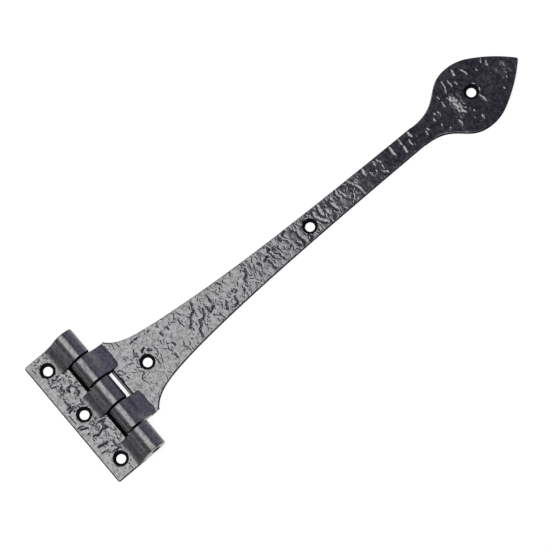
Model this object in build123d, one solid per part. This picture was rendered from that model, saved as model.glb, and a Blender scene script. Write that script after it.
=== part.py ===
from build123d import *

import math
import os

# Cast tee hinge with a spear-ended strap.
#
# Three pieces: a short rectangular leaf that is screwed to the frame, a long tapering strap that is
# screwed to the door, and the pin that both turn on. The leaf carries the two end knuckles and the
# middle one, the strap the two between them.
#
# X runs along the strap towards its point, Y along the pin, Z out of the face that the hinge is
# screwed to. The origin is the leaf's middle screw hole, on that face.

# Driving sizes, in millimetres and degrees.
strap_length = 305.0        # pin axis to the point of the spear
strap_thickness = 4.0
leaf_length = 85.4          # along the pin, from end to end
leaf_thickness = 4.0
leaf_edge_margin = 9.5      # outer edge of the leaf to its line of screws
leaf_holes_to_pin = 18.6    # line of screws to the pin axis
leaf_hole_pitch = 33.0
leaf_corner_round = 1.2

barrel_diameter = 13.6      # knuckles, flush with the back of both castings
knuckle_count = 5           # leaf and strap knuckles take turns, the leaf's are at both ends
side_gap = 0.8              # between the ends of neighbouring knuckles
leaf_notch_radius = 9.33    # hollow round the pin in which the strap's knuckles turn
strap_slot_radius = 11.1    # the same in the strap, for the leaf's middle knuckle
leaf_ramp_slope = 52        # degrees, the straight part of the ramps up to the leaf's knuckles
leaf_ramp_foot = 4.0        # radius of the hollow curve in which they leave the front
strap_ramp_slope = 60       # the same on the strap, with a longer and shallower foot
strap_ramp_foot = 9.2
knuckle_edge_chamfer = 0.3

pin_diameter = 6.3
running_clearance = 0.05    # radial, pin to the strap's knuckles
pin_end_inset = 0.3         # each pin end lies this far inside the barrel's end
pin_end_chamfer = 0.5

screw_hole_diameter = 6.0
countersink_diameter = 9.2
countersink_angle = 90
strap_hole_count = 3
first_strap_hole = 28.5     # pin axis to the strap's first screw
last_hole_to_point = 33.5   # the strap's last screw to the point of the spear

shoulder_from_pin = 16.1    # pin axis to the corner where the strap starts to narrow
shoulder_round = 4.5
taper_width = 37.5          # width of the long taper, carried back to the shoulders
taper_fade = 64.0           # length in which the long taper falls to 1/e of its excess
shoulder_fade = 6.3         # the same for the quick hollow curve behind the shoulders
neck_width = 12.0           # width that the taper settles towards
taper_set = 2.1             # how far the cast taper sits over to the +Y side; under half shows
set_rise = 20.0             # length in which that set comes up behind the shoulders

spear_length = 73.0         # start of the flare to the point
spear_width = 42.3
spear_point_length = 36.1   # widest place to the point
spear_neck_pull = 0.59      # how long the flare keeps the neck's direction, as a share of its length
spear_cheek_pull = 0.48     # how early it takes the direction of the widest place
spear_brow_round = 27.0
spear_brow_turn = 28        # degrees turned by the brow's arc before the long side of the point
spear_tip_round = 1.0
spear_lean = 1.6            # degrees that the cast spear leans off the strap's centre line
lean_before_spear = 9.0     # the lean starts this far back in the neck

edge_round = 0.5            # front edges of both castings

# Sizes that follow from them.
barrel_radius = barrel_diameter / 2
knuckle_pitch = leaf_length / knuckle_count
shoulder_half = knuckle_pitch * (knuckle_count / 2 - 1) - side_gap / 2
neck_from_pin = strap_length - spear_length
lean_from_pin = neck_from_pin - lean_before_spear
spear_widest = strap_length - spear_point_length
strap_hole_pitch = (strap_length - first_strap_hole - last_hole_to_point) / (strap_hole_count - 1)
slot_half = (knuckle_pitch + side_gap) / 2


def knuckle_spans(first):
    """Y limits of every second knuckle, counted from number `first` along the pin."""
    spans = []
    for number in range(first, knuckle_count, 2):
        low = -leaf_length / 2 + number * knuckle_pitch
        high = low + knuckle_pitch
        low += side_gap / 2 if number > 0 else 0
        high -= side_gap / 2 if number < knuckle_count - 1 else 0
        spans.append((low, high))
    return spans


def knuckle(span, slope, foot_radius, thickness):
    """One knuckle with its ramp, pin axis over x = 0 and the ramp towards +X.

    The section is the barrel's circle, a straight slope that touches it, and a hollow foot that
    touches both the slope and the flat front. It is closed half way up the thickness, inside the
    flat casting that it stands on.
    """
    turn = math.radians(slope)
    slope_height = barrel_radius * (1 + math.cos(turn)) - thickness
    slope_foot = barrel_radius * math.sin(turn) + slope_height / math.tan(turn)
    reach = slope_foot + foot_radius * math.tan(turn / 2)
    inside = thickness / 2
    inside_angle = -math.degrees(math.asin((barrel_radius - inside) / barrel_radius))
    barrel = CenterArc((0, barrel_radius), barrel_radius, 90 - slope, 270 + slope + inside_angle)
    foot = CenterArc((reach, thickness + foot_radius), foot_radius, -90, -slope)
    ramp = Line(barrel @ 0, foot @ 1)
    floor = Line(barrel @ 1, (reach, inside))
    heel = Line((reach, inside), foot @ 0)
    section = Plane.XZ * make_face([barrel, ramp, foot, heel, floor])
    low, high = span
    body = extrude(Pos(0, low, 0) * section, amount=high - low, dir=(0, 1, 0))
    return chamfer(body.edges().filter_by(GeomType.CIRCLE), knuckle_edge_chamfer)


def round_the_pin(radius, low, high):
    """Cylinder round the pin axis over x = 0, from low to high along Y."""
    lying = Rot(X=-90) * Cylinder(radius, high - low, align=(Align.CENTER, Align.CENTER, Align.MIN))
    return Pos(0, low, barrel_radius) * lying


def countersunk_hole(x, y, thickness):
    """Screw hole through a casting, with its countersink in the front face."""
    return Pos(x, y, thickness) * CounterSinkHole(
        radius=screw_hole_diameter / 2,
        counter_sink_radius=countersink_diameter / 2,
        depth=thickness,
        counter_sink_angle=countersink_angle,
    )


def round_front_edges(casting):
    """Round the edges of a flat casting's front face."""
    front = casting.faces().sort_by(Axis.Z)[-1]
    return fillet(front.outer_wire().edges(), edge_round)


def frame_leaf():
    """The fixed leaf: a rectangle, with hollow notches in which the strap's knuckles turn."""
    reach_back = leaf_holes_to_pin + leaf_edge_margin
    blank = Box(reach_back, leaf_length, leaf_thickness, align=(Align.MIN, Align.CENTER, Align.MIN))
    for low, high in knuckle_spans(1):
        blank -= round_the_pin(leaf_notch_radius, low - side_gap, high + side_gap)
    corners = blank.edges().filter_by(Axis.Z).sort_by(Axis.X)[-2:]
    casting = round_front_edges(fillet(corners, leaf_corner_round))
    for span in knuckle_spans(0):
        casting += knuckle(span, leaf_ramp_slope, leaf_ramp_foot, leaf_thickness)
    half = leaf_length / 2
    casting -= round_the_pin(pin_diameter / 2, -half, half)
    for place in (-leaf_hole_pitch, 0, leaf_hole_pitch):
        casting -= countersunk_hole(leaf_holes_to_pin, place, leaf_thickness)
    return Pos(leaf_holes_to_pin, 0, 0) * (Rot(Z=180) * casting)


def strap_centre(x):
    """Y of the cast strap's centre line, which comes back to the pin's middle towards the neck."""
    past = x - shoulder_from_pin
    return taper_set * (math.exp(-past / taper_fade) - math.exp(-past / set_rise))


def strap_half_width(x):
    """Half width of the strap between its shoulders and its neck.

    Two falling exponentials on top of the neck: a slow one for the long taper, and a quick one
    for the hollow curve just behind the shoulders.
    """
    past = x - shoulder_from_pin
    taper = (taper_width - neck_width) / 2 * math.exp(-past / taper_fade)
    shoulder = (shoulder_half - taper_width / 2) * math.exp(-past / shoulder_fade)
    return neck_width / 2 + taper + shoulder


def spear_side(side):
    """One side of the spear, from the neck to the point; side is 1 or -1."""
    neck = Vector(neck_from_pin, strap_half_width(neck_from_pin))
    widest = Vector(spear_widest, spear_width / 2)
    run = widest.X - neck.X
    flare = Bezier(neck, neck + Vector(run * spear_neck_pull, 0),
                   widest - Vector(run * spear_cheek_pull, 0), widest)
    brow = JernArc(widest, (1, 0), spear_brow_round, -spear_brow_turn)
    long_side = TangentArc(brow @ 1, (strap_length, 0), tangent=brow % 1)
    edges = [flare, brow, long_side]
    if side < 0:
        edges = [mirror(edge, about=Plane.XZ) for edge in edges]
    lean = Pos(lean_from_pin, strap_centre(neck_from_pin), 0) * Rot(Z=-spear_lean)
    return [lean * Pos(-lean_from_pin, 0, 0) * edge for edge in edges]


def taper_side(side, end):
    """One side of the long taper, from the shoulder to the start of the spear."""
    stations = 12
    points = []
    for station in range(stations):
        x = shoulder_from_pin + (neck_from_pin - shoulder_from_pin) * (station / stations) ** 2
        points.append((x, strap_centre(x) + side * strap_half_width(x)))
    return Spline(points + [end])


def strap_outline():
    """The strap's outline seen from the front, pin axis at x = 0."""
    upper = spear_side(1)
    lower = spear_side(-1)
    upper_taper = taper_side(1, upper[0] @ 0)
    lower_taper = taper_side(-1, lower[0] @ 0)
    upper_ear = Line((0, shoulder_half), upper_taper @ 0)
    lower_ear = Line((0, -shoulder_half), lower_taper @ 0)
    root = Line((0, -shoulder_half), (0, shoulder_half))
    return make_face([root, upper_ear, upper_taper, *upper, *reversed(lower), lower_taper, lower_ear])


def strap():
    """The long strap: ears beside the hollow slot for the middle knuckle, taper, neck and spear."""
    blank = extrude(strap_outline(), strap_thickness)
    shoulders = blank.edges().filter_by(Axis.Z).group_by(Axis.X)[1]
    blank = fillet(shoulders, shoulder_round)
    point = blank.edges().filter_by(Axis.Z).sort_by(Axis.X)[-1]
    blank = fillet(point, spear_tip_round)
    blank -= round_the_pin(strap_slot_radius, -slot_half, slot_half)
    casting = round_front_edges(blank)
    spans = knuckle_spans(1)
    for span in spans:
        casting += knuckle(span, strap_ramp_slope, strap_ramp_foot, strap_thickness)
    casting -= round_the_pin(pin_diameter / 2 + running_clearance, spans[0][0], spans[-1][1])
    for number in range(strap_hole_count):
        casting -= countersunk_hole(first_strap_hole + number * strap_hole_pitch, 0, strap_thickness)
    return Pos(leaf_holes_to_pin, 0, 0) * casting


def hinge_pin():
    """Plain round pin, held in the leaf's knuckles and free in the strap's."""
    half = leaf_length / 2 - pin_end_inset
    pin = round_the_pin(pin_diameter / 2, -half, half)
    pin = chamfer(pin.edges().filter_by(GeomType.CIRCLE), pin_end_chamfer)
    return Pos(leaf_holes_to_pin, 0, 0) * pin


def main():
    os.makedirs("parts", exist_ok=True)
    export_step(frame_leaf(), "parts/frame_leaf.step")
    export_step(strap(), "parts/strap.step")
    export_step(hinge_pin(), "parts/hinge_pin.step")


main()
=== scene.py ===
# %% [markdown]
# # A cast tee hinge, enamelled black
# The hinge lies flat on its back on a white floor: a short leaf, a long strap that ends in a spear,
# and the pin that both turn on. The CAD model holds its sizes and its joint. This lesson dresses
# it: it loads that model as a fixed frame, makes both castings again with their hammered faces,
# and gives them their glossy black. Everything is in metres in the CAD's frame; sizes are written
# in millimetres and brought down by one factor.

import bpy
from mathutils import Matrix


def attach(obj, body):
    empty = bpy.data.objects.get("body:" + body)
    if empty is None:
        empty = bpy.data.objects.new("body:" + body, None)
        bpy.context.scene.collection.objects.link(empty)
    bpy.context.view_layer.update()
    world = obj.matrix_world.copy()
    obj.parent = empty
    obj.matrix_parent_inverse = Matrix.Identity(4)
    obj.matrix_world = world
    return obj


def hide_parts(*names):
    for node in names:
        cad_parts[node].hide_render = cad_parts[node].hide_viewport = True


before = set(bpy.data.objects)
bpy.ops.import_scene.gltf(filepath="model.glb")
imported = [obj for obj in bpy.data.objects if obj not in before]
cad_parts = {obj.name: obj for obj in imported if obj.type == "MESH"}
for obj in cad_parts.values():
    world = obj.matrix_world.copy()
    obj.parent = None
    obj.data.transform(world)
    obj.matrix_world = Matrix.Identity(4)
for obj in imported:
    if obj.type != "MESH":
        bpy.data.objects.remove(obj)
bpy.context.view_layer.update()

# %% Blender, numpy and the scale
import math

import bmesh
import bpy
import numpy as np
from mathutils import Matrix, Vector

MM = 0.001

# %% [markdown]
# ## Sizes of the castings
# Each casting is described from the pin outwards: `out` is the distance from the pin axis, towards
# +X on the strap and towards -X on the leaf, so one set of functions makes both. The sizes are
# those of the CAD model, because the dressed hinge must fill the same box. Only the screw holes
# are drawn a little narrower and deeper, as the photograph shows them.

# %% Sizes in millimetres
pin_x = 18.6
plate = 4.0
barrel_radius = 6.8
leaf_half_length = 42.7
leaf_end = 28.1
leaf_corner = 1.2
ear_half = 25.22
edge_round = 0.5
leaf_hollow, strap_hollow = 9.33, 11.1
leaf_bore, strap_bore = 3.15, 3.2
leaf_knuckles = [(-42.7, -26.02), (-8.14, 8.14), (26.02, 42.7)]
strap_knuckles = [(-25.22, -8.94), (8.94, 25.22)]
leaf_holes = [(pin_x, y) for y in (-33.0, 0.0, 33.0)]
strap_holes = [(out, 0.0) for out in (28.5, 150.0, 271.5)]
hole_radius, sink_radius = 2.85, 4.65
sink_foot, sink_rim = 1.7, plate - 0.15
print(len(leaf_holes) + len(strap_holes), "screw holes")

# %% [markdown]
# ## Smooth random heights
# A hammered face has no two dents alike, yet it is smooth up close. Gradient noise gives that: a
# random slope stands on each corner of a square net, and between the corners the slopes are faded
# into each other. Working it out in numpy, on whole arrays, lets the same heights shape the mesh,
# so the dents are real and catch the light from any side.

# %% Gradient noise
def fade(t):
    """Goes from 0 to 1 with level ends: 6 t^5 - 15 t^4 + 10 t^3, with t held between 0 and 1."""
    t = np.clip(t, 0, 1)
    return t * t * t * (t * (6 * t - 15) + 10)


def swell(x, y, size, seed):
    """Smooth random height from about -1 to 1, with humps about `size` across.

    Each corner of a square net adds its slope times the distance from it, faded towards the
    neighbouring corners.
    """
    turn = np.random.default_rng(seed).uniform(0, 2 * np.pi, (256, 256))
    u, v = np.asarray(x) / size + 500.5, np.asarray(y) / size + 500.5
    i, j = np.floor(u).astype(int), np.floor(v).astype(int)
    du, dv = u - i, v - j

    def corner(a, b):
        angle = turn[(i + a) % 256, (j + b) % 256]
        return np.cos(angle) * (du - a) + np.sin(angle) * (dv - b)

    near = corner(0, 0) + fade(du) * (corner(1, 0) - corner(0, 0))
    far = corner(0, 1) + fade(du) * (corner(1, 1) - corner(0, 1))
    return 1.5 * (near + fade(dv) * (far - near))


sample = swell(np.linspace(0, 100, 2001), 0, 5, 1)
print("swell runs from %.2f to %.2f" % (sample.min(), sample.max()))

# %% [markdown]
# ## The hammered face
# The pattern maker chisels short creases into the flat faces, over broad shallow dents. Most are
# small and have no order, so random heights can make them: a crease is a line along which a smooth
# random height passes through zero, and a second height says where along it the crease is cut.
# Dividing the height by its own slope gives the distance from the line, so every stroke has the
# same width and the same V-shaped section.

# %% Random creases
def creases(x, y, size, width, share, seed):
    """Short V-shaped strokes, 1 along the middle of each and 0 at `width` away.

    The distance from the line is |height| / |slope of the height|, with a little added to the
    slope where it is level; the stroke is (1 - distance / width)^2, cut to length where a second
    height is over `share`.
    """
    step, level = 0.05, 0.02
    height = swell(x, y, size, seed)
    slope_x = (swell(x + step, y, size, seed) - height) / step
    slope_y = (swell(x, y + step, size, seed) - height) / step
    distance = np.abs(height) / (np.hypot(slope_x, slope_y) + level)
    here = fade((swell(x, y, 1.1 * size, seed + 1) - share) / 0.2)
    return here * np.clip(1 - distance / width, 0, 1) ** 2


sample = creases(*np.meshgrid(np.linspace(0, 40, 200), np.linspace(0, 40, 200)), 2.6, 0.5, 0.1, 11)
print("share of the face that creases cover: %.2f" % (sample > 0.1).mean())

# %% [markdown]
# The larger creases are this casting's own. They are listed as short broken lines in millimetres,
# out from the pin and along it, in three sizes of chisel: fine cuts, bold cuts, and broad valleys.
# The strap has long cuts across its middle, and the leaf has tight curls between its screws and
# its knuckles.

# %% Cuts on the strap
strap_fine = [
    [(27.4, 14.1), (30, 14.6), (33.7, 14.2), (34.8, 14.6)], [(38.4, 12.9), (41.4, 13.8)],
    [(45.1, 12.7), (46.5, 11.5)], [(37.3, -2.4), (35.4, -6.2)], [(19.1, 6.2), (22.2, 4.3)],
    [(14.5, 20.1), (15, 19.2)], [(22, 19.5), (22.2, 17.4)], [(30.1, 6.9), (32.5, 7.4)],
    [(12, 6.6), (14, 6.1), (15, 2.8), (11.9, 3.5), (11.7, 5.5)], [(14.8, 1), (15, -1)],
    [(11.6, 2.5), (11.6, -0.6)], [(23.6, -3.3), (20.1, -6)], [(59.5, 12), (60.7, 8.2)],
    [(52.5, -4.5), (50.9, -6.5), (52.1, -8.4), (52.1, -11)], [(61.2, -1.7), (60.8, -3.4)],
    [(88.2, 10), (89.5, 7.5)], [(106.7, 8.5), (107.5, 6.5)], [(109.6, 5.3), (108.9, 4)],
    [(112.6, 7), (112, 5.9)], [(128.6, -2.1), (128.7, -2.6)],
    [(91.4, -0.2), (93.6, 0.4), (94.6, -1.2), (92.9, -2.1)], [(135.9, -1), (133.3, -2.5)],
    [(78.6, -5.6), (79.1, -9)], [(57.9, 7.2), (57.5, 5.1), (58, 2.1)], [(98.9, -3.1), (97.3, -5.3)],
    [(225.5, 1.9), (225.3, -2)], [(236.1, -0.9), (235.9, -2.7)], [(204.3, 0.2), (204, -1.7)],
    [(237.8, 0.1), (238.2, -1.3)], [(261.6, 15.6), (261.5, 12.5), (259.7, 8.9)],
    [(274.4, 14), (275.7, 11.6), (276, 9.4)], [(264.6, 13.7), (264.9, 9.9)],
    [(267.6, 10.1), (267.7, 8.8)], [(254.2, 6.5), (253.8, 3.1)], [(254, 10.3), (254.1, 8.9)],
    [(265.7, -9), (265.3, -9.9)], [(262.2, -12.8), (263.1, -12.9)], [(281.6, 8.5), (282, 7.5)],
    [(287.1, -10), (287.3, -10.9)], [(292.5, -6.3), (292.4, -7.1)], [(245.9, -3.3), (245.6, -4.4)],
    [(248.6, -8.5), (247.5, -9.2)], [(287.6, 10.8), (285.6, 9.2)],
]
strap_bold = [
    [(69.7, 10.1), (67.7, 5.7), (64.2, 3.9), (62.9, 1.6), (60.4, -0.7)],
    [(79.2, 7.5), (79.3, 5.3), (78.6, 3.2)],
    [(72.4, 3), (71.6, 0.4), (69.2, -1.7), (66.8, -1), (66.2, -3.2), (63.8, -5.3), (62.4, -9.5)],
    [(75, 2.2), (75, -1.2), (78.3, 0.1)], [(86, -2.4), (84.6, -3.9), (83.4, -6.3)],
    [(91.1, -3.4), (90.7, -7.1), (88.4, -7.8)], [(44, -6.7), (43.6, -9.2)],
    [(46.9, -0.8), (47.3, -2.8)], [(45.1, 7.9), (45.3, 6.4)], [(26.9, 8.4), (26, 6.5)],
    [(31.7, 7.4), (29.7, 6.1)], [(33.4, 5), (35, 3.6)], [(50.2, 8), (50.1, 6.7)],
    [(26.9, 9.7), (25.1, 6.8), (26.9, 5.9)],
    [(105.6, 4.9), (104.5, 2.1), (101.9, 0.5), (101.7, -1.4)], [(134.6, 6), (137.4, 7.4)],
    [(132.2, 6.9), (132.4, 4.6)], [(134.6, 1.9), (134.7, 0.5)], [(128.5, 3.1), (128.5, 1.8)],
    [(125.7, 4.2), (126.1, 3.3)], [(126.7, -1.2), (127.1, -4.8)],
    [(124.1, 4.7), (122.3, 4.1), (122.9, 1.5), (123.4, -1.4)],
    [(117.5, 1.2), (119.4, 2.3), (120.7, 2)], [(119.6, 0), (119.8, -2.9), (119.7, -5.5)],
    [(113.5, 2.8), (114.6, 1.3)], [(162.8, 1.3), (163, -1.5)], [(169.2, 4.5), (169, 2.5)],
    [(166.4, -4.4), (164.1, -5.9)], [(182.4, 6.2), (184.3, 2.2), (185.8, -1), (186.2, -6.2)],
    [(220.8, 5.4), (220.4, 2.4)], [(203.5, 4.4), (204.5, 2.4)], [(201.3, 4.9), (201.1, 3)],
    [(175.4, 4.1), (176.5, 1)], [(196, 1.1), (196.8, -1.2), (199.3, -0.1)],
    [(176.2, 0.7), (177.6, -2.1)], [(270.4, 16.8), (269.8, 13.8)],
    [(248.6, 3.6), (248.8, 1.6), (247.1, 0.4)], [(246.4, 3.9), (246.4, 3.2)],
    [(244.2, 1.7), (244.3, 0.3)], [(254.8, -8.3), (255.1, -10.2), (254, -11.8)],
    [(267.1, -14.7), (266.6, -16.5)], [(273.6, -4.9), (274.4, -9.5)], [(288.9, 8.3), (288.1, 6.2)],
]
strap_valleys = [
    [(142.5, 1.9), (141.6, -0.5), (142.3, -2.4)], [(142.5, -3.7), (142.4, -5.4), (141, -6.1)],
    [(156, 4.5), (155.3, 2.4), (157, -1.8), (159.4, -4.6)],
    [(160.6, 5.9), (159.4, 3.2), (159.7, 0.2)], [(146.8, -3.3), (148.4, -5.8), (145.4, -6.9)],
    [(167.6, 2.6), (167.8, -0.2), (168.7, -2.9)], [(173.4, 5.2), (173.8, 1.9)],
    [(213.7, 4.9), (213.6, 0.1)], [(220.6, 0.1), (219.9, -2.5)], [(227.4, 5.1), (227.7, 2.7)],
    [(193.4, 5.5), (193, 2.5)], [(202.1, -3), (204, -4.4)],
]
print("fine, bold and broad cuts:", len(strap_fine), len(strap_bold), len(strap_valleys))

# %% Cuts on the leaf
leaf_fine = [
    [(19.9, 26.7), (17.9, 25.7), (16.4, 26.8), (15, 26.6)], [(18.2, 24.6), (15.5, 24.2)],
    [(25.3, 1.8), (25.4, -1.3)], [(22.4, 27), (23.2, 23.8), (21, 22.7)], [(25.5, 4.5), (25.3, 1.8)],
    [(26.4, -4.1), (23.1, -4.5)], [(24.2, -10.4), (22.5, -10.5)], [(23.4, -14.2), (23.6, -15.2)],
    [(25, -24), (22.7, -24.2)], [(25.1, 38.7), (24.6, 36.3)], [(17.8, 41.3), (20, 40)],
    [(17.6, -5.3), (19.2, -6.5), (18.3, -8.5)], [(11.7, -19.8), (11.5, -21.1)],
    [(14.5, -2.3), (15.2, -5.5), (13.8, -6.7)], [(14.4, 4.5), (11.9, 2.3), (14.9, 2.4)],
    [(14.1, 7.9), (13.2, 6), (14.9, 6.2), (14.5, 7.7)], [(20.1, -27), (16.7, -27.3)],
    [(13.8, 40.4), (14.3, 38.3), (11.9, 37.5)], [(13.4, 28.1), (12.2, 25.9), (10.5, 25.7)],
]
leaf_bold = [
    [(17.8, 20.6), (19.6, 19.9), (18.5, 17.9)],
    [(16.8, 15.9), (15.2, 17.7), (13.2, 17.9), (12.8, 16.3)], [(20.7, 7.3), (24.3, 6)],
    [(12, 15), (12.2, 12), (14.3, 10.7)], [(22.2, 12.3), (21.5, 8.6), (23.8, 8.1)],
    [(25.3, -5.7), (21.8, -7.4)], [(22.5, -13.1), (19.5, -14.4), (16.2, -13.4)],
    [(15, -8.8), (11.2, -9.5), (14.1, -10.8), (12.8, -14.4), (15.6, -13.3)],
    [(24.1, -19.9), (18.3, -21)], [(15.1, -22.4), (15.6, -25.2), (14.7, -27.2), (17.3, -28.1)],
    [(13.3, 34.3), (12.8, 32), (12.5, 29.3)],
]
print("fine and bold cuts:", len(leaf_fine), len(leaf_bold))

# %% Cut along a line
def cut(x, y, line, half_width):
    """V-shaped cut along a broken line: (1 - distance / half_width)^2.

    The distance is the smallest to any straight run of the line, taken at the run's nearest point
    start + t * run, with t held between 0 and 1.
    """
    points = np.array(line, dtype=float)
    nearest = np.full(x.shape, np.inf)
    for start, run in zip(points[:-1], np.diff(points, axis=0)):
        from_x, from_y = x - start[0], y - start[1]
        t = np.clip((from_x * run[0] + from_y * run[1]) / run.dot(run), 0, 1)
        nearest = np.minimum(nearest, np.hypot(from_x - t * run[0], from_y - t * run[1]))
    return np.clip(1 - nearest / half_width, 0, 1) ** 2


def inside(x, y, points, margin=2):
    """Marks the places that lie in the box of some points, with a margin in millimetres."""
    low, high = np.min(points, axis=0) - margin, np.max(points, axis=0) + margin
    return (x > low[0]) & (x < high[0]) & (y > low[1]) & (y < high[1])


def cuts(x, y, lines, half_width, depth):
    """Deepest of several cuts; a small wander of the points makes their edges uneven."""
    wander = 0.35
    wander_x, wander_y = x + wander * swell(x, y, 1.8, 71), y + wander * swell(x, y, 1.8, 73)
    deepest = np.zeros(x.shape)
    for line in lines:
        near = inside(x, y, line)
        here = cut(wander_x[near], wander_y[near], line, half_width)
        deepest[near] = np.maximum(deepest[near], here)
    return depth * deepest


# %% Sizes of chisel
# Each is a half width and a depth.
fine_cut, leaf_fine_cut, bold_cut, valley_cut = (0.55, 0.24), (0.55, 0.26), (0.9, 0.42), (1.3, 0.3)
print("bold cuts go", bold_cut[1], "mm into a plate of", plate)


# %% Height of the leaf's face
def dents(out, y, size, broad, narrow):
    """Shallow dents, `size` across and up to twice `broad` deep, with ones of 3.5 mm in them."""
    return broad * (1 + swell(out, y, size, 3)) + narrow * (1 + swell(out, y, 3.5, 5))


def leaf_depth(out, y):
    """Depth in millimetres of the leaf's face: dents, cuts, and creases but for its outer edge."""
    busy = fade((24.5 - out) / 3) * (0.6 + 0.4 * fade((swell(out, y, 9, 7) + 0.25) / 0.3))
    small = 0.26 * creases(out, y, 2.6, 0.5, 0.04, 11) + 0.2 * creases(out, y, 1.9, 0.4, 0.14, 21)
    drawn = cuts(out, y, leaf_fine, *leaf_fine_cut) + cuts(out, y, leaf_bold, *bold_cut)
    return dents(out, y, 9, 0.03, 0.015) + busy * small + drawn


# %% Height of the strap's face
def long_dent(out, y, span, across):
    """Dent 1 deep: down from span[0] to span[1] and up again to span[2], faded at `across` in y."""
    down = fade((out - span[0]) / (span[1] - span[0]))
    up = fade((span[2] - out) / (span[2] - span[1]))
    beside = np.minimum(y - across[0], across[1] - y) / (0.35 * (across[1] - across[0]))
    return np.minimum(down, up) * fade(beside)


def spear_marks(out, y):
    """Two long dents on the spear, a soft unevenness, and a rough patch before its hole."""
    before_hole = 0.34 * long_dent(out, y, (243, 256, 264.5), (-11, 10))
    past_hole = 0.5 * long_dent(out, y, (280.5, 286, 306), (-10, 6))
    soft = 0.03 * (1 + swell(out, y, 3.0, 65)) * fade((out - 240) / 15)
    rough = 0.045 * (1 + swell(out, y, 1.7, 61)) * fade((out - 252) / 3) * fade((266 - out) / 3)
    return before_hole + past_hole + soft + rough * fade((10 - np.abs(y + 0.5)) / 3)


def strap_depth(out, y):
    """The same for the strap, with deeper dents in its middle and fewer creases on the spear."""
    middle = fade((out - 85) / 50) * fade((205 - out) / 45)
    fewer = 1 - 0.85 * fade((out - 155) / 55)
    busy = (0.45 + 0.55 * fade((swell(out, y, 12, 7) + 0.1) / 0.3)) * fewer
    small = 0.16 * creases(out, y, 2.4, 0.42, 0.1, 11)
    small += 0.2 * creases(1.15 * out, 0.8 * y, 3.0, 0.48, 0.18, 31)
    drawn = cuts(out, y, strap_fine, *fine_cut) + cuts(out, y, strap_bold, *bold_cut)
    drawn += cuts(out, y, strap_valleys, *valley_cut)
    shallow = dents(out, y, 8, 0.03 + 0.035 * middle, 0.012 + 0.014 * middle)
    return shallow + busy * small + drawn + spear_marks(out, y)


across, along = np.meshgrid(np.arange(-20, 20, 0.5), np.arange(10, 28, 0.5))
print("deepest place on the leaf: %.2f mm" % leaf_depth(along, across).max())


# %% Rims of the screw holes
def rim_sag(x, y, holes):
    """How far the rim of each screw hole sinks, unevenly.

    It is up to sag_depth exp(-((distance from the rim) / sag_reach)^2).
    """
    sag_depth, sag_reach = 0.1, 0.4
    sag = np.zeros_like(x)
    for hole_x, hole_y in holes:
        past_rim = np.hypot(x - hole_x, y - hole_y) - sink_radius
        sag = np.maximum(sag, sag_depth * np.exp(-((past_rim / sag_reach) ** 2)))
    return sag * fade(0.5 + swell(x, y, 3.0, 81))


sample = rim_sag(np.array([sink_radius]), np.array([0.0]), [(0, 0)])
print("the rim of a hole at the origin sinks by %.2f mm" % sample[0])


# %% [markdown]
# ## Black enamel
# The finish is a glossy black enamel, thinly baked on the castings. It is uneven in four ways: fine
# pebbles in its height, and slower changes of its roughness, its clear coat and its tone. One node
# group puts out all four, and each material feeds it its own limits. The shader stays in the
# material, with the coat over the black. The screw holes, the plates' side faces, the leaf's
# notches and the gaps between the knuckles get a dull black finish with no shine at all, which the
# Booleans carry over from the cutters: a painted shade for the shade that falls in them. The pin
# has it too, so its end shows as a dark mark of painted shade. The barrel and its ramps were ground
# smooth and shine more softly than the hammered faces. The flat backs, which the photograph
# doesn't show, are finished as the barrel is.

# %% Enamel group
def enamel_group():
    """Height, roughness, coat and tone of baked enamel, from four noises on Object coordinates.

    The height is a noise times the depth of the pebbles. Each of the others is a noise of its own
    scale, whose middle part is stretched to run from the least to the most.
    """
    group = bpy.data.node_groups.new("enamel_unevenness", "ShaderNodeTree")
    for name, value in (("Pebble Depth", 0.3), ("Least Roughness", 0.15), ("Most Roughness", 0.3),
                        ("Least Coat", 0.3), ("Most Coat", 1.0)):
        socket = group.interface.new_socket(name, in_out="INPUT", socket_type="NodeSocketFloat")
        socket.default_value = value
    for name in ("Height", "Roughness", "Coat", "Tone"):
        group.interface.new_socket(name, in_out="OUTPUT", socket_type="NodeSocketFloat")
    nodes, links = group.nodes, group.links
    entry, leave = nodes.new("NodeGroupInput"), nodes.new("NodeGroupOutput")
    where = nodes.new("ShaderNodeTexCoord")

    def noise(scale, detail):
        texture = nodes.new("ShaderNodeTexNoise")
        texture.inputs["Scale"].default_value = scale
        texture.inputs["Detail"].default_value = detail
        links.new(where.outputs["Object"], texture.inputs["Vector"])
        return texture.outputs["Fac"]

    depth = nodes.new("ShaderNodeMath")
    depth.operation = "MULTIPLY"
    links.new(noise(900.0, 3.0), depth.inputs[0])
    links.new(entry.outputs["Pebble Depth"], depth.inputs[1])
    links.new(depth.outputs[0], leave.inputs["Height"])
    for what, scale, detail, low, high in (("Roughness", 120.0, 2.0, 0.3, 0.7),
                                           ("Coat", 620.0, 4.0, 0.36, 0.6),
                                           ("Tone", 480.0, 5.0, 0.4, 0.66)):
        stretch = nodes.new("ShaderNodeMapRange")
        stretch.inputs["From Min"].default_value = low
        stretch.inputs["From Max"].default_value = high
        links.new(noise(scale, detail), stretch.inputs["Value"])
        links.new(stretch.outputs["Result"], leave.inputs[what])
        if what != "Tone":
            links.new(entry.outputs["Least " + what], stretch.inputs["To Min"])
            links.new(entry.outputs["Most " + what], stretch.inputs["To Max"])
    return group


unevenness = enamel_group()
sockets = unevenness.interface.items_tree
print("the group puts out", [socket.name for socket in sockets if socket.in_out == "OUTPUT"])


# %% Enamel materials
enamel_ior = 1.55
dark_tone, light_tone = (0.003, 0.003, 0.005, 1), (0.029, 0.028, 0.037, 1)
painted_shade_tone = (0.008, 0.008, 0.009, 1)


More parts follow.
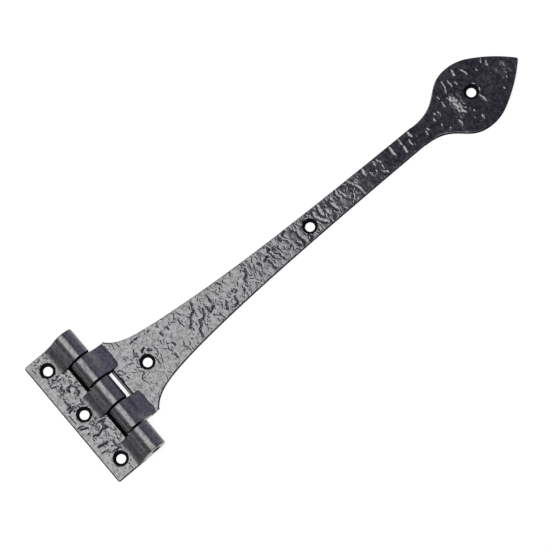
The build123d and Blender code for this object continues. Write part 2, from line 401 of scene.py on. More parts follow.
def enamel(name, pebble_depth, roughness):
    """Black enamel in one dull tone, with its own unevenness: (material, shader, group node).

    Alone it is the painted shade of holes, gaps and side walls. `roughness` is a pair, least and
    most.
    """
    material = bpy.data.materials.new(name)
    material.use_nodes = True
    nodes, links = material.node_tree.nodes, material.node_tree.links
    shader = nodes["Principled BSDF"]
    shader.inputs["Base Color"].default_value = painted_shade_tone
    shader.inputs["IOR"].default_value = enamel_ior
    surface = nodes.new("ShaderNodeGroup")
    surface.node_tree = unevenness
    surface.inputs["Pebble Depth"].default_value = pebble_depth
    for limit, value in zip(("Least", "Most"), roughness):
        surface.inputs[limit + " Roughness"].default_value = value
    bump = nodes.new("ShaderNodeBump")
    bump.inputs["Distance"].default_value = 0.0001
    bump.inputs["Strength"].default_value = 0.5
    links.new(surface.outputs["Height"], bump.inputs["Height"])
    links.new(surface.outputs["Roughness"], shader.inputs["Roughness"])
    links.new(bump.outputs["Normal"], shader.inputs["Normal"])
    return material, shader, surface


def coated_enamel(name, pebble_depth, roughness, coat, coat_roughness):
    """The same with a tone that runs between two blacks, under a clear coat.

    `coat` is a pair, the least and the most of its weight.
    """
    material, shader, surface = enamel(name, pebble_depth, roughness)
    links = material.node_tree.links
    black = material.node_tree.nodes.new("ShaderNodeMix")
    black.data_type = "RGBA"
    black.inputs["A"].default_value, black.inputs["B"].default_value = dark_tone, light_tone
    for limit, value in zip(("Least", "Most"), coat):
        surface.inputs[limit + " Coat"].default_value = value
    shader.inputs["Coat Roughness"].default_value = coat_roughness
    shader.inputs["Coat IOR"].default_value = enamel_ior
    links.new(surface.outputs["Tone"], black.inputs["Factor"])
    links.new(black.outputs["Result"], shader.inputs["Base Color"])
    links.new(surface.outputs["Coat"], shader.inputs["Coat Weight"])
    return material


casting_enamel = coated_enamel("black_enamel_on_hammered_faces",
                               0.3, (0.07, 0.17), (0.15, 1.0), 0.05)
barrel_enamel = coated_enamel("black_enamel_on_barrel", 0.2, (0.26, 0.36), (0.2, 1.0), 0.22)
painted_shade_enamel, painted_shade_shader, _ = enamel("painted_shade_in_recesses", 0.5, (0.5, 0.7))
# Painted shade: holes, gaps and side walls mirror nothing, so they stay black as the shade in them.
painted_shade_shader.inputs["Specular IOR Level"].default_value = 0.0
# The second finish is a painted shade: a dull black with no shine, for holes, gaps and walls.
finishes = [casting_enamel, painted_shade_enamel, barrel_enamel]
hammered, painted_shade_finish, smooth = range(3)
print("finishes on the castings:", [finish.name for finish in finishes])

# %% [markdown]
# ## From numbers to a closed mesh
# Every solid here is made of loops: closed rings of points that follow each other, joined row by
# row, with a cap on the first and the last. A cast plate is two such solids. One is a block with
# the hammered face on top, a height for every point of an even net. The other is the plate's
# outline, with its rounded front edge. What both hold in common is the casting, as the mould's two
# halves give it: the face from one, the outline from the other.

# %% Into the scene
def show(name, data):
    """Puts a mesh, a lamp or a camera into the scene as an object."""
    thing = bpy.data.objects.new(name, data)
    bpy.context.scene.collection.objects.link(thing)
    return thing


def casting_mesh(name):
    """An empty mesh with the three finishes in its slots."""
    mesh = bpy.data.meshes.new(name)
    for finish in finishes:
        mesh.materials.append(finish)
    return mesh


# %% Loops to mesh
def shell(name, loops, finish=hammered):
    """A closed mesh from loops: an array of shape (rows, points in a loop, 3), in millimetres.

    Neighbouring points of neighbouring loops make the faces, and one polygon caps each end.
    `finish` is the number of a finish, or a function that gives one for each face's centre.
    """
    rows, around = loops.shape[:2]
    index = np.arange(rows * around).reshape(rows, around)
    beside = np.roll(index, -1, axis=1)
    faces = np.stack([index[:-1], beside[:-1], beside[1:], index[1:]], axis=-1).reshape(-1, 4)
    caps = [index[0, ::-1].tolist(), index[-1].tolist()]
    mesh = casting_mesh(name)
    mesh.from_pydata((loops.reshape(-1, 3) * MM).tolist(), [], faces.tolist() + caps)
    work = bmesh.new()
    work.from_mesh(mesh)
    bmesh.ops.recalc_face_normals(work, faces=work.faces)
    work.to_mesh(mesh)
    work.free()
    centres, numbers = np.empty(len(mesh.polygons) * 3), np.empty(len(mesh.polygons), dtype=int)
    mesh.polygons.foreach_get("center", centres)
    numbers[:] = finish(centres.reshape(-1, 3) / MM) if callable(finish) else finish
    mesh.polygons.foreach_set("material_index", numbers)
    return show(name, mesh)


def place(out, y, z, towards):
    """Puts (out from the pin, y, z) into the CAD frame; `towards` is to_strap or to_leaf."""
    out, y, z = np.broadcast_arrays(out, y, z)
    return np.stack([pin_x + towards * out, y, z], axis=-1)


to_strap, to_leaf = 1, -1
print("10 mm out is at x", [float(place(10, 0, 0, way)[0]) for way in (to_strap, to_leaf)])


# %% [markdown]
# ## The strap's outline
# Behind the shoulders the strap narrows in two falling exponentials, a quick hollow and a long
# taper, and then flares into a spear: a Bezier curve to the widest place, an arc for the brow and
# a larger arc to the point. The cast taper sits a little to one side and the spear leans the other
# way. All of it is worked out as arrays of points, upper and lower side in step, so that row k of
# the plate runs from point k of one side to point k of the other.

# %% Sides of the strap
shoulder, shoulder_round = 16.1, 4.5
taper_width, taper_fade, shoulder_fade, neck_width = 37.5, 64.0, 6.3, 12.0
taper_set, set_rise = 2.1, 20.0
neck, widest, point = 232.0, 268.9, 305.0
spear_half, neck_pull, cheek_pull = 21.15, 0.59, 0.48
brow_radius, brow_turn, tip_radius = 27.0, math.radians(28), 1.0
lean, lean_start = math.radians(1.6), 223.0


def centre_line(out):
    """Side offset of the strap's middle, `past` being the distance from its shoulder.

    It is taper_set (exp(-past / taper_fade) - exp(-past / set_rise)).
    """
    past = out - shoulder
    return taper_set * (np.exp(-past / taper_fade) - np.exp(-past / set_rise))


def half_width(out):
    """Half of the neck's width, plus a slow and a quick falling exponential."""
    past = out - shoulder
    taper = (taper_width - neck_width) / 2 * np.exp(-past / taper_fade)
    hollow = (ear_half - taper_width / 2) * np.exp(-past / shoulder_fade)
    return neck_width / 2 + taper + hollow


def rolled_corner(curve, ball, level):
    """Centre of a ball that rolls inside `curve` until it is at `level`, and where it touches.

    The curve's points are moved inwards by the ball's radius; the centre is the one that comes
    nearest to `level`, and the point of the curve with the same index is where the ball touches.
    """
    along = np.gradient(curve, axis=0)
    along /= np.linalg.norm(along, axis=1)[:, None]
    centres = curve + ball * np.stack([along[:, 1], -along[:, 0]], axis=1)
    touch = int(np.argmin(np.abs(centres[:, 1] - level)))
    return centres[touch], touch


def taper_edge(side, stations):
    """Y of one side at each station, with the shoulder's corner rounded by the rolling ball."""
    def taper(out):
        return side * centre_line(out) + half_width(out)

    fine = np.linspace(shoulder, shoulder + 12, 4000)
    curve = np.stack([fine, taper(fine)], axis=1)
    centre, touch = rolled_corner(curve, shoulder_round, ear_half - shoulder_round)
    level = np.where(stations < centre[0], ear_half, taper(stations))
    over = np.clip(stations - centre[0], 0, shoulder_round)
    ball = centre[1] + np.sqrt(shoulder_round ** 2 - over ** 2)
    on_ball = (stations >= centre[0]) & (stations <= curve[touch, 0])
    return side * np.where(on_ball, ball, level)


# %% Side of the spear
def spear_side(count):
    """Points of the spear's upper side from the neck to the point, evenly spaced, before it leans.

    The flare is the Bezier curve (1-t)^3 a + 3 (1-t)^2 t b + 3 (1-t) t^2 c + t^3 d from the neck a
    to the widest place d, with b and c level with them. Both arcs are centre + radius (sin, cos).
    """
    t = np.linspace(0, 1, 400)[:, None]
    start, brow_start = np.array([neck, half_width(neck)]), np.array([widest, spear_half])
    run = widest - neck
    pull, ease = start + [neck_pull * run, 0], brow_start - [cheek_pull * run, 0]
    flare = (1 - t) ** 3 * start + 3 * (1 - t) ** 2 * t * pull
    flare = flare + 3 * (1 - t) * t ** 2 * ease + t ** 3 * brow_start
    turn = t * brow_turn
    brow = brow_start + brow_radius * np.hstack([np.sin(turn), np.cos(turn) - 1])
    chord = np.array([point, 0.0]) - brow[-1]
    bend = math.atan2(-chord[1], chord[0]) - brow_turn
    radius = np.linalg.norm(chord) / (2 * math.sin(bend))
    turn = brow_turn + t * 2 * bend
    turned = [np.sin(turn) - math.sin(brow_turn), np.cos(turn) - math.cos(brow_turn)]
    long_side = brow[-1] + radius * np.hstack(turned)
    side = np.vstack([flare[:-1], brow[:-1], long_side])
    centre, touch = rolled_corner(side, tip_radius, 0.0)
    first = math.asin(min(1, side[touch, 1] / tip_radius))
    turn = np.linspace(first, 0.1, 30)[:, None]
    tip = [centre[0], 0] + tip_radius * np.hstack([np.cos(turn), np.sin(turn)])
    side = np.vstack([side[:touch], tip])
    length = np.concatenate([[0], np.cumsum(np.linalg.norm(np.diff(side, axis=0), axis=1))])
    even = np.linspace(0, length[-1], count)
    return np.stack([np.interp(even, length, side[:, axis]) for axis in (0, 1)], axis=1)


print("the spear's side has its widest place at", spear_side(100).max(axis=0).round(2))


# %% Both sides of the strap
def strap_sides():
    """Upper and lower side of the strap, row by row, from the slot to the point.

    The rows are `close` together at the shoulders, up to 30 mm out, and 1 mm apart behind them.
    """
    close, straight_from = 0.4, 30
    edge_rows = hollow_rows(strap_hollow)
    shoulder_rows = np.arange(edge_rows[-1] + close, straight_from, close)
    taper_rows = np.arange(straight_from, neck - close, 1.0)
    stations = np.concatenate([edge_rows, shoulder_rows, taper_rows])
    spear = spear_side(100)
    turn = np.array([[math.cos(lean), -math.sin(lean)], [math.sin(lean), math.cos(lean)]])
    offset = np.array([lean_start, centre_line(neck)])
    sides = []
    for side in (1, -1):
        taper = np.stack([stations, taper_edge(side, stations)], axis=1)
        leaning = (spear * [1, side] - [lean_start, 0]) @ turn + offset
        sides.append(np.vstack([taper, leaning]))
    return sides


# %% [markdown]
# ## The outline as a solid
# A row of the outline goes up one wall, over the rounded edge, across, and down the other side.
# The rounding follows the outline's own normal, so it keeps its width where the outline turns.
# Next to the pin the plate ends in a hollow round it, in which the other casting's knuckle turns,
# so the rows there are kept under that hollow.

# %% Outline solid
quarter_turn = np.radians([0, 22.5, 45, 67.5, 90])
back_top, hollow_middle, wall_top, hollow_top = 0.01, 2.1, plate - 0.16, plate - 0.4


def outline_solid(name, upper, lower, ceiling, towards, hollow_finish):
    """Closed solid between two sides, arrays (rows, 2), no higher than `ceiling` in each row.

    The rounded edge is a quarter circle: across = r (1 - cos a), height = plate - r (1 - sin a).
    The side walls and the upper part of the hollow next to the pin get the dull finish, a painted
    shade; the flat back gets the smooth one, and the lower part of the hollow the one asked for.
    """
    def inward(side, sign):
        way = np.gradient(side, axis=0)
        way /= np.linalg.norm(way, axis=1)[:, None]
        return sign * np.stack([way[:, 1], -way[:, 0]], axis=1)

    walls = []
    for side, sign in ((lower, -1), (upper, 1)):
        points = [np.column_stack([side, np.zeros(len(side))])]
        for angle in quarter_turn:
            across = edge_round * (1 - math.cos(angle))
            height = np.full(len(side), plate - edge_round * (1 - math.sin(angle)))
            points.append(np.column_stack([side + across * inward(side, sign), height]))
        walls.append(points)
    rows = np.stack(walls[0] + walls[1][::-1], axis=1)
    rows[..., 2] = np.minimum(rows[..., 2], ceiling[:, None])
    hollow_end = rows[np.argmax(ceiling > hollow_top), 0, 0]

    def finish_of(centres):
        out, height = towards * (centres[:, 0] - pin_x), centres[:, 2]
        # Side walls and the hollow's upper part get the dull finish, a painted shade.
        walls = np.where(height < wall_top, painted_shade_finish, hammered)
        hollow = np.where(height < hollow_middle, hollow_finish, painted_shade_finish)
        return np.where(height < back_top, smooth, np.where(out < hollow_end, hollow, walls))

    return shell(name, place(rows[..., 0], rows[..., 1], rows[..., 2], towards), finish_of)


print("the side walls are dull up to %.2f mm" % wall_top)


# %% Ceiling next to the pin
def under_hollow(out, radius):
    """Ceiling next to the pin: the hollow's circle, then the rounded edge between it and the front.

    The circle is 6.8 - sqrt(radius^2 - out^2). The edge's centre lies where a circle of the edge's
    radius touches both: at 3.5 high and sqrt((radius + 0.5)^2 - 3.3^2) out.
    """
    edge_level = plate - edge_round
    edge_out = math.sqrt((radius + edge_round) ** 2 - (barrel_radius - edge_level) ** 2)
    touch = edge_out * radius / (radius + edge_round)
    circle = barrel_radius - np.sqrt(np.maximum(radius ** 2 - out ** 2, 0))
    edge = edge_level + np.sqrt(np.maximum(edge_round ** 2 - (edge_out - out) ** 2, 0))
    return np.where(out < touch, circle, np.where(out < edge_out, edge, plate))


def hollow_rows(radius):
    """Stations through the hollow's end face, from just above the floor to the flat front.

    The last `edge_run` of them, where the edge is rounded, stand closer.
    """
    first_height, edge_run = 0.05, 0.55
    start = math.sqrt(radius ** 2 - (barrel_radius - first_height) ** 2)
    end = math.sqrt((radius + edge_round) ** 2 - (barrel_radius - plate + edge_round) ** 2)
    hollow = np.linspace(start, end - edge_run, 10)
    return np.concatenate([hollow[:-1], np.linspace(end - edge_run, end, 9)])


print("the strap's slot starts at", hollow_rows(strap_hollow).round(2)[[0, -1]])

# %% [markdown]
# ## The hammered blocks
# The net is finer than a third of a millimetre, which is half a pixel of the photograph. Near the
# outline the hammering fades out, because the edge was dressed by hand. The distance to the
# outline is simply the smallest distance to any of its points.

# %% Distance to the outline
def distance_to(rim, out, y, far=9.0):
    """Smallest distance to any of the rim's points, worked out near them only; `far` elsewhere."""
    distance, share = np.full(out.shape, far), 40
    for first in range(0, len(rim), share):
        part = rim[first:first + share]
        near = inside(out, y, part)
        gap = np.hypot(out[near][:, None] - part[:, 0], y[near][:, None] - part[:, 1])
        distance[near] = np.minimum(distance[near], gap.min(axis=1))
    return distance


sample = distance_to(np.array([[0.0, 0.0]]), np.array([0.6, 5.0]), np.array([0.8, 0.0]))
print("distances to a point at the origin:", sample)

# %% Hammered block
face_depth, bare_rim, rim_fade, droop_depth, droop_reach = 0.03, 0.2, 0.9, 0.16, 0.55


def hammered_block(name, out_span, y_span, step, rim, depth_of, holes, towards):
    """Closed block whose top is the plate's front less its depth, on an even net of points.

    `rim` holds the outline's points. The depth is face_depth, plus the hammering, which comes up
    over rim_fade past the bare rim, plus the edge's droop
    droop_depth exp(-(distance / droop_reach)^2), plus the sag at the screw holes.
    """
    out = np.arange(out_span[0], out_span[1] + step, step)
    y = np.arange(y_span[0], y_span[1] + step, step)
    out, y = np.meshgrid(out, y, indexing="ij")
    from_rim = distance_to(rim, out, y)
    hammering = depth_of(out, y) * fade((from_rim - bare_rim) / rim_fade)
    droop = droop_depth * np.exp(-((from_rim / droop_reach) ** 2))
    depth = face_depth + hammering + droop + rim_sag(out, y, holes)
    top = place(out, y, plate - depth, towards)
    foot = [place(out[:, edge], y[:, edge], -1.0, towards)[:, None] for edge in (0, -1)]
    return shell(name, np.concatenate([foot[0], top, foot[1]], axis=1))


def combine(casting, other, operation):
    """Applies one Boolean to the casting and removes the other object."""
    cutting = casting.modifiers.new(operation.lower(), "BOOLEAN")
    cutting.operation, cutting.solver, cutting.object = operation, "MANIFOLD", other
    bpy.context.view_layer.update()
    seen = casting.evaluated_get(bpy.context.evaluated_depsgraph_get())
    result = bpy.data.meshes.new_from_object(seen)
    casting.modifiers.clear()
    casting.data = result
    bpy.data.objects.remove(other)


# %% The strap's plate
upper, lower = strap_sides()
ceiling = under_hollow(upper[:, 0], strap_hollow)
strap = hammered_block("strap_casting", (8.0, 306.0), (-26.0, 26.0), 0.3,
                       np.vstack([upper, lower]), strap_depth, strap_holes, to_strap)
outline = outline_solid("strap_outline", upper, lower, ceiling, to_strap, hammered)
combine(strap, outline, "INTERSECT")
print("strap plate", len(strap.data.polygons), "faces, tip at", upper[-1].round(2))

# %% Sides of the leaf
end_rows = leaf_end - edge_round * np.array([1.0, 0.7, 0.4, 0.2, 0.06, 0])
corner_rows = np.arange(leaf_end - leaf_corner - 0.1, end_rows[0] - 0.05, 0.15)
flat_rows = np.arange(10, corner_rows[0] - 0.5, 1.0)
stations = np.concatenate([hollow_rows(leaf_hollow), flat_rows, corner_rows, end_rows])
past_corner = np.clip(stations - (leaf_end - leaf_corner), 0, leaf_corner - 0.01)
leaf_y = leaf_half_length - (leaf_corner - np.sqrt(leaf_corner ** 2 - past_corner ** 2))
leaf_upper, leaf_lower = [np.stack([stations, side * leaf_y], axis=1) for side in (1, -1)]
print("the leaf's outline has", len(stations), "rows, its corners are cut by",
      round(leaf_half_length - leaf_y[-1], 2), "mm")

# %% The leaf's plate
past_edge = np.clip(edge_round - (leaf_end - stations), 0, edge_round)
end_edge = plate - edge_round + np.sqrt(edge_round ** 2 - past_edge ** 2)
ceiling = np.minimum(under_hollow(stations, leaf_hollow), end_edge)
end_y = np.linspace(-leaf_half_length, leaf_half_length, 120)
rim = np.vstack([leaf_upper, leaf_lower, np.stack([np.full(len(end_y), leaf_end), end_y], axis=1)])
leaf = hammered_block("leaf_casting", (6.0, 29.0), (-43.5, 43.5), 0.22,
                      rim, leaf_depth, leaf_holes, to_leaf)
# The leaf's notch under the barrel gets the dull finish: a painted shade.
outline = outline_solid("leaf_outline", leaf_upper, leaf_lower, ceiling, to_leaf, painted_shade_finish)
combine(leaf, outline, "INTERSECT")
print("leaf plate", len(leaf.data.polygons), "faces")

# %% [markdown]
# ## Knuckles with their ramps
# A knuckle is the barrel's circle, a straight slope that touches it, and a hollow foot that runs
# out on the plate's front, carried along the pin. Near its ends the whole section is drawn in,
# which rounds the end's edge: the circle gets smaller by the same amount as the hollow foot gets
# larger. The foot runs a little below the front, and it sinks at both ends of the knuckle, so the
# hammered face itself draws the uneven rounded line between rough and smooth.

# %% Section of a knuckle
end_round, end_face, foot_below = 0.5, 0.35, 0.1


def knuckle_section(slope, foot_radius, foot_angle, drawn_in):
    """Section of a knuckle as points (out, z), drawn in all round by `drawn_in`.

    The foot ends foot_below under the front. Its arc would have its lowest point r (1 - cos a)
    under that level, a being the angle at which it meets it. The slope comes down to the lowest
    level at R sin s + (R (1 + cos s) - level) / tan s, and the arc's lowest point lies
    r tan(s / 2) further out.
    """
    level = plate - foot_below - foot_radius * (1 - math.cos(foot_angle))
    rise = barrel_radius * (1 + math.cos(slope)) - level
    slope_foot = barrel_radius * math.sin(slope) + rise / math.tan(slope)
    reach = slope_foot + foot_radius * math.tan(slope / 2)
    angle = np.linspace(-math.pi / 2, math.pi / 2 - slope - 2 * math.pi, 100)
    circle = np.stack([np.cos(angle), np.sin(angle)], axis=1) * (barrel_radius - drawn_in)
    circle += [0, barrel_radius]
    angle = np.linspace(1.5 * math.pi - slope, 1.5 * math.pi - 0.5 * foot_angle, 28)
    foot = np.stack([np.cos(angle), np.sin(angle)], axis=1) * (foot_radius + drawn_in)
    foot += [reach, level + foot_radius]
    share = np.linspace(0, 1, 8)[1:-1, None]
    straight = circle[-1] + share * (foot[0] - circle[-1])
    heel = np.array([[foot[-1, 0], drawn_in]])
    return np.vstack([circle, straight, foot, heel])


leaf_ramp = math.radians(52), 13.0, math.radians(17)
strap_ramp = math.radians(50), 14.4, math.radians(12)
for ramp in (leaf_ramp, strap_ramp):
    print("a section's reach and height:", knuckle_section(*ramp, 0.0).max(axis=0).round(1))


# %% Knuckle bodies
def knuckle(span, slope, foot_radius, foot_angle, lift, towards, outermost):
    """One knuckle: its section carried from one end of `span` to the other, edges rounded.

    The foot sinks unevenly, by about 0.05, and by 0.2 more at both ends; `lift` raises it again.
    An end that faces another knuckle gets the dull finish, a painted shade for the gap, and one as
    far from the middle as `outermost` the smooth one.
    """
    low, high = span
    ends_in = end_round * (1 - np.sin(quarter_turn))
    ends_y = end_round * (1 - np.cos(quarter_turn))
    middle = np.linspace(low + end_round, high - end_round, 34)[1:-1]
    y = np.concatenate([low + ends_y, middle, high - ends_y[::-1]])
    drawn_in = np.concatenate([ends_in, np.zeros(len(middle)), ends_in[::-1]])
    section = [knuckle_section(slope, foot_radius, foot_angle, amount) for amount in drawn_in]
    out, z = np.moveaxis(np.stack(section), -1, 0)
    along = np.broadcast_to(y[:, None], out.shape)
    ramp = fade((out - 5) / 2.5) * (z > plate / 2)
    to_end = np.minimum(along - low, high - along)
    sink = 0.05 * (1 + swell(out, along, 4.5, 51))
    sink = sink + 0.2 * fade(1 - to_end / 2.5) * fade((out - 8) / 6) - lift
    sink = sink + 0.05 * swell(out, along, 1.9, 53) * fade((out - 7.5) / 3)

    def finish_of(centres):
        at_end = np.minimum(centres[:, 1] - low, high - centres[:, 1]) < end_face
        # Ends that face a gap get the painted shade.
        return np.where(at_end & (np.abs(centres[:, 1]) < outermost - end_face), painted_shade_finish, smooth)

    return shell("knuckle", place(out, along, np.maximum(z - ramp * sink, 0), towards), finish_of)


strap_lifts = (-0.1, 0.1)
leaf_bodies = [knuckle(span, *leaf_ramp, 0.0, to_leaf, leaf_half_length) for span in leaf_knuckles]
strap_bodies = [knuckle(span, *strap_ramp, lift, to_strap, ear_half)
                for span, lift in zip(strap_knuckles, strap_lifts)]
print(len(leaf_bodies) + len(strap_bodies), "knuckles")

# %% [markdown]
# ## Bores and screw holes
# The pin's bore runs through all knuckles, and each screw hole opens into a countersink. They are
# turned shapes, made as loops round their axis, and they are cut out of the castings with a
# Boolean, which is how the drill leaves them in the real ones: through the dents, wherever those
# lie.

# %% Cutters
full_turn = np.linspace(0, 2 * np.pi, 96, endpoint=False)[None, :]


def pin_bore(radius):
    """Cylinder round the pin axis, longer than the barrel: radius (cos, sin) in X and Z."""
    ends = np.array([-50.0, 50.0])[:, None]
    height = barrel_radius + radius * np.sin(full_turn)
    # The bore's wall gets the dull finish: a painted shade.
    return shell("bore", place(radius * np.cos(full_turn), ends, height, to_strap), painted_shade_finish)


def screw_hole(out, y, towards):
    """Straight hole and countersink as rings, radius and height of each, from below upwards."""
    rings = np.array([[hole_radius, -1], [hole_radius, sink_foot], [sink_radius, sink_rim],
                      [sink_radius + 1, plate + 1]])
    around_x, around_y = rings[:, :1] * np.cos(full_turn), rings[:, :1] * np.sin(full_turn)
    # The hole and its countersink get the dull finish: a painted shade in them.
    return shell("screw_hole", place(out + around_x, y + around_y, rings[:, 1:], towards), painted_shade_finish)


leaf_cutters = [pin_bore(leaf_bore)] + [screw_hole(out, y, to_leaf) for out, y in leaf_holes]
strap_cutters = [pin_bore(strap_bore)] + [screw_hole(out, y, to_strap) for out, y in strap_holes]
print(len(leaf_cutters), "cutters for the leaf,", len(strap_cutters), "for the strap")

# %% Join and cut
def joined(name, things):
    """One object from several, with all their faces."""
    work = bmesh.new()
    for thing in things:
        work.from_mesh(thing.data)
        bpy.data.objects.remove(thing)
    mesh = casting_mesh(name)
    work.to_mesh(mesh)
    work.free()
    return show(name, mesh)


def merge_slivers(mesh, distance):
    """Merges points closer than `distance`, because Booleans leave a few slivers, and counts the
    edges that are open after it: none is on a closed mesh."""
    work = bmesh.new()
    work.from_mesh(mesh)
    bmesh.ops.remove_doubles(work, verts=work.verts, dist=distance)
    work.to_mesh(mesh)
    open_edges = sum(len(edge.link_faces) != 2 for edge in work.edges)
    work.free()
    return open_edges


sliver, sharp_from = 2e-6, math.radians(38)
for casting, bodies, cutters in ((leaf, leaf_bodies, leaf_cutters),
                                 (strap, strap_bodies, strap_cutters)):
    combine(casting, joined("knuckles", bodies), "UNION")
    combine(casting, joined("cutters", cutters), "DIFFERENCE")
    open_edges = merge_slivers(casting.data, sliver)
    casting.data.shade_smooth()
    casting.data.set_sharp_from_angle(angle=sharp_from)
    triangles = sum(len(face.vertices) - 2 for face in casting.data.polygons)
    print(casting.name, triangles, "triangles,", open_edges, "open edges")

# %% Dress the pieces
for casting, body, node in ((leaf, "leaf", "frame_leaf"), (strap, "strap", "strap")):
    print(casting.name, "wears", [finish.name for finish in casting.data.materials])
    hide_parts(node)
    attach(casting, body)

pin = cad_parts["hinge_pin"]
# The pin gets the dull finish: its end is a dark mark of painted shade in the bore.
pin.data.materials.clear()
pin.data.materials.append(painted_shade_enamel)
print("the pin wears", [finish.name for finish in pin.data.materials])

# %% [markdown]
# ## Floor
# The photograph's ground is plain white. So the floor shines nearly white to the camera and to
# reflections, and what is left up to white is a faint matt share that answers to the light and
# takes the hinge's soft shadow. To all other light it is a plain matt white.

# %% White floor
floor_half, floor_level = 4.0, -0.00005
shadow_reach, least_open, most_open, brightest = 0.02, 0.05, 0.2, 0.9
faint_grey, matt_white = (0.14, 0.14, 0.14, 1), (0.8, 0.8, 0.8, 1)


def floor_material():
    """White to the camera and to reflections, with a faint matt share; matt white to other light.

    The shine is dimmed where little sky is open above, close round the hinge: a painted shade.
    """
    material = bpy.data.materials.new("white_floor")
    material.use_nodes = True
    nodes, links = material.node_tree.nodes, material.node_tree.links
    nodes.clear()
    seen = nodes.new("ShaderNodeLightPath")
    either, both = nodes.new("ShaderNodeMath"), nodes.new("ShaderNodeMath")
    either.operation = both.operation = "MAXIMUM"
    shine = nodes.new("ShaderNodeEmission")
    faint, matt = nodes.new("ShaderNodeBsdfDiffuse"), nodes.new("ShaderNodeBsdfDiffuse")
    faint.inputs["Color"].default_value, matt.inputs["Color"].default_value = faint_grey, matt_white
    white, mix = nodes.new("ShaderNodeAddShader"), nodes.new("ShaderNodeMixShader")
    sky, opened = nodes.new("ShaderNodeAmbientOcclusion"), nodes.new("ShaderNodeMapRange")
    sky.inputs["Distance"].default_value = shadow_reach
    for socket, value in (("From Min", least_open), ("From Max", most_open),
                          ("To Min", 0.0), ("To Max", brightest)):
        opened.inputs[socket].default_value = value
    leave = nodes.new("ShaderNodeOutputMaterial")
    for source, target in ((seen.outputs["Is Camera Ray"], either.inputs[0]),
                           (seen.outputs["Is Glossy Ray"], either.inputs[1]),
                           (either.outputs[0], both.inputs[0]),
                           (seen.outputs["Is Transmission Ray"], both.inputs[1]),
                           (sky.outputs["AO"], opened.inputs["Value"]),
                           (opened.outputs["Result"], shine.inputs["Strength"]),
                           (shine.outputs[0], white.inputs[0]),
                           (faint.outputs[0], white.inputs[1]),
                           (both.outputs[0], mix.inputs["Fac"]),
                           (matt.outputs[0], mix.inputs[1]),
                           (white.outputs[0], mix.inputs[2]),
                           (mix.outputs[0], leave.inputs["Surface"])):
        links.new(source, target)
    return material


corners = [(x, y, floor_level) for x, y in ((-floor_half, -floor_half), (floor_half, -floor_half),
                                            (floor_half, floor_half), (-floor_half, floor_half))]
ground = bpy.data.meshes.new("floor")
ground.from_pydata(corners, [], [(0, 1, 2, 3)])
ground.materials.append(floor_material())
show("floor", ground)
print("the floor is", 2 * floor_half, "m wide, its top at", floor_level / MM, "mm")

# %% [markdown]
# ## Light
# A glossy black shows its surroundings, so they make the picture. One large soft lamp hangs two
# metres up and reaches far out over the leaf's side: the flats mirror it up to the middle of the
# strap, the barrel carries it as a narrow band, and past its soft edge the strap goes dark towards
# the spear. The room is dark overhead, grey on the leaf's side and bluish on the spear's side,
# which is what the ramps mirror.

# %% Soft lamp
lamp_x, lamp_y, lamp_height = (-2.2, 0.405), (-0.40, 1.10), 2.0
near_fade, far_fade, radiance = 0.19, 1.06, 4.7


def soft_lamp():
    """Area lamp whose strength fades to nothing at both X ends, by its parametric coordinate."""
    light = bpy.data.lights.new("softbox", "AREA")
    light.shape = "RECTANGLE"
    light.size, light.size_y = lamp_x[1] - lamp_x[0], lamp_y[1] - lamp_y[0]
    light.energy = radiance * math.pi * light.size * light.size_y
    light.use_nodes = True
    nodes, links = light.node_tree.nodes, light.node_tree.links
    spot, part = nodes.new("ShaderNodeNewGeometry"), nodes.new("ShaderNodeSeparateXYZ")
    both = nodes.new("ShaderNodeMath")
    both.operation = "MULTIPLY"
    links.new(spot.outputs["Parametric"], part.inputs["Vector"])
    fades = ((1.0, 1 - near_fade / light.size), (0.0, far_fade / light.size))
    for factor, (start, end) in zip(both.inputs, fades):
        ramp = nodes.new("ShaderNodeMapRange")
        ramp.interpolation_type = "SMOOTHSTEP"
        ramp.inputs["From Min"].default_value, ramp.inputs["From Max"].default_value = start, end
        links.new(part.outputs["X"], ramp.inputs["Value"])
        links.new(ramp.outputs["Result"], factor)
    links.new(both.outputs[0], nodes["Emission"].inputs["Strength"])
    return light


lamp = show("softbox", soft_lamp())
lamp.location = (sum(lamp_x) / 2, sum(lamp_y) / 2, lamp_height)
print("lamp", round(lamp.data.size, 2), "by", round(lamp.data.size_y, 2), "m")


# %% Room
shades = [(0.0, (0.42, 0.42, 0.42)), (0.14, (0.42, 0.42, 0.42)), (0.5, (0.10, 0.096, 0.118)),
          (0.57, (0.17, 0.162, 0.215)), (0.65, (0.27, 0.265, 0.33)), (0.74, (0.4, 0.39, 0.49)),
          (0.85, (0.8, 0.76, 1.04)), (1.0, (0.8, 0.76, 1.04))]


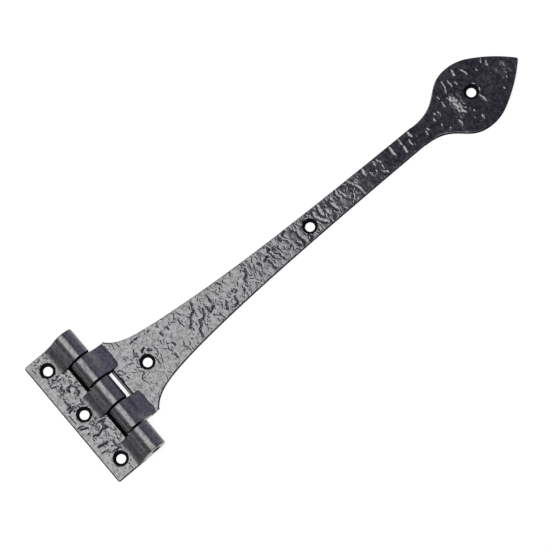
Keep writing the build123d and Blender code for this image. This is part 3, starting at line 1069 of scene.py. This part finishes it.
def room():
    """World: white to the camera, and to everything else the shades, along the direction's X."""
    world = bpy.data.worlds.new("studio")
    world.use_nodes = True
    nodes, links = world.node_tree.nodes, world.node_tree.links
    nodes.clear()
    way = nodes.new("ShaderNodeTexCoord")
    part = nodes.new("ShaderNodeSeparateXYZ")
    span = nodes.new("ShaderNodeMapRange")
    span.inputs["From Min"].default_value, span.inputs["From Max"].default_value = -1.0, 1.0
    walls = nodes.new("ShaderNodeValToRGB")
    for position, _ in shades[1:-1]:
        walls.color_ramp.elements.new(position)
    for stop, (position, colour) in zip(walls.color_ramp.elements, shades):
        stop.position, stop.color = position, (*colour, 1)
    seen = nodes.new("ShaderNodeLightPath")
    studio, white = nodes.new("ShaderNodeBackground"), nodes.new("ShaderNodeBackground")
    white.inputs["Color"].default_value = (1, 1, 1, 1)
    mix, leave = nodes.new("ShaderNodeMixShader"), nodes.new("ShaderNodeOutputWorld")
    for source, target in ((way.outputs["Generated"], part.inputs["Vector"]),
                           (part.outputs["X"], span.inputs["Value"]),
                           (span.outputs["Result"], walls.inputs["Fac"]),
                           (walls.outputs["Color"], studio.inputs["Color"]),
                           (seen.outputs["Is Camera Ray"], mix.inputs["Fac"]),
                           (studio.outputs[0], mix.inputs[1]),
                           (white.outputs[0], mix.inputs[2]),
                           (mix.outputs[0], leave.inputs["Surface"])):
        links.new(source, target)
    return world


bpy.context.scene.world = room()
print("the room has", len(shades), "shades, from", shades[2][1], "to", shades[-1][1])

# %% [markdown]
# ## Camera
# The photograph was taken from far away, nearly straight down, with the strap running up to the
# right. Position and aim were worked out from the leaf's corners, the six screw holes and the
# spear's point, so the picture falls on the photograph.

# %% Camera
sensor, photo_width, focal_pixels = 36.0, 550, 4352.756
spot, aim = Vector((-0.037130, -0.392629, 2.464237)), Vector((0.135367, -0.008208, 0.0))
roll = math.radians(40.364)


def camera():
    """Long lens, placed by its spot, its aim and the direction that is level in the picture.

    That direction is (cos roll, -sin roll) on the floor, less its part along the line of sight.
    """
    data = bpy.data.cameras.new("camera")
    data.sensor_width = sensor
    data.lens = sensor * focal_pixels / photo_width
    data.clip_start, data.clip_end = 0.05, 50
    forward = (aim - spot).normalized()
    right = Vector((math.cos(roll), -math.sin(roll), 0))
    right = (right - forward * right.dot(forward)).normalized()
    turned = Matrix((right, right.cross(forward), -forward)).transposed().to_4x4()
    eye = show("camera", data)
    eye.matrix_world = Matrix.Translation(spot) @ turned
    return eye


bpy.context.scene.camera = camera()
bpy.context.scene.view_settings.view_transform = "Standard"
print("lens", round(bpy.context.scene.camera.data.lens, 1), "mm, from", round(spot.z, 2), "m up")
